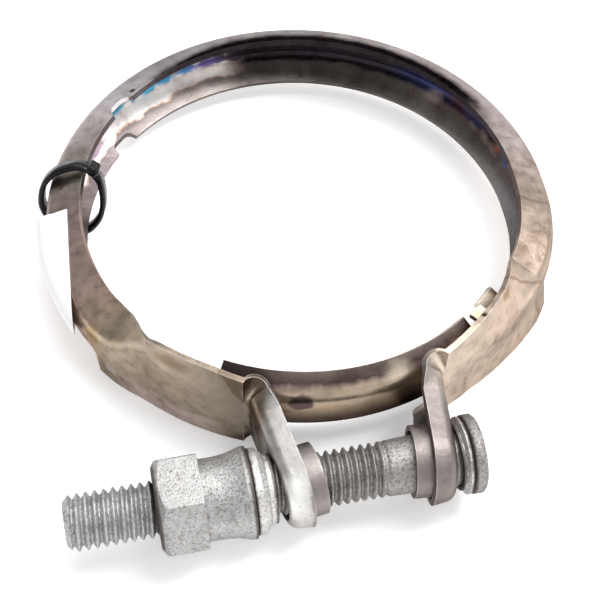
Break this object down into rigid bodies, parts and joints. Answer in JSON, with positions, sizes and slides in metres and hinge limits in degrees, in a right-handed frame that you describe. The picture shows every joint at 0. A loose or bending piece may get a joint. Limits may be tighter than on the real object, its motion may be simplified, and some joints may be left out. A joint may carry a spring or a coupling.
{
  "type": "exhaust v-band clamp",
  "caption": "V-band exhaust clamp: a one-piece sprung steel ring with folded lugs, closed by a headed bolt and collar nut over a bridge insert.",
  "frame": {"origin": "centre of the ring, at half its height", "axes": "+Z along the pipe, +Y away from the lugs, X parallel to the bolt with the nut on the -X side"},
  "size_m": [0.0832, 0.0961, 0.0176],
  "materials": {
    "band_steel": "heat-tinted satin stainless steel",
    "insert_steel": "heat-tinted bronze-brown stainless steel",
    "bolt_steel": "rough grey zinc flake",
    "sleeve_steel": "rough grey zinc flake",
    "nut_steel": "rough grey zinc flake",
    "tie_plastic": "glossy black nylon",
    "label_paper": "white paper"
  },
  "bodies": {
    "clamp": {"clamp_band": "band_steel", "bridge_insert": "insert_steel", "clamp_bolt": "bolt_steel", "head_sleeve": "sleeve_steel", "cable_tie": "tie_plastic", "paper_label": "label_paper"},
    "nut_carriage": {"nut_sleeve": "sleeve_steel"},
    "nut": {"collar_nut": "nut_steel"}
  },
  "joints": [
    {"name": "nut_travel", "type": "slide", "parent": "clamp", "child": "nut_carriage", "axis": [-1, 0, 0], "range_m": [0, 0.012]},
    {"name": "nut_spin", "type": "hinge", "parent": "nut_carriage", "child": "nut", "pos_m": [-0.0237, -0.04815, 0], "axis": [-1, 0, 0], "range_deg": [0, 3456]}
  ],
  "couplings": [
    {"joint": "nut_travel", "follows": "nut_spin", "m_per_rad": 0.00019894}
  ]
}
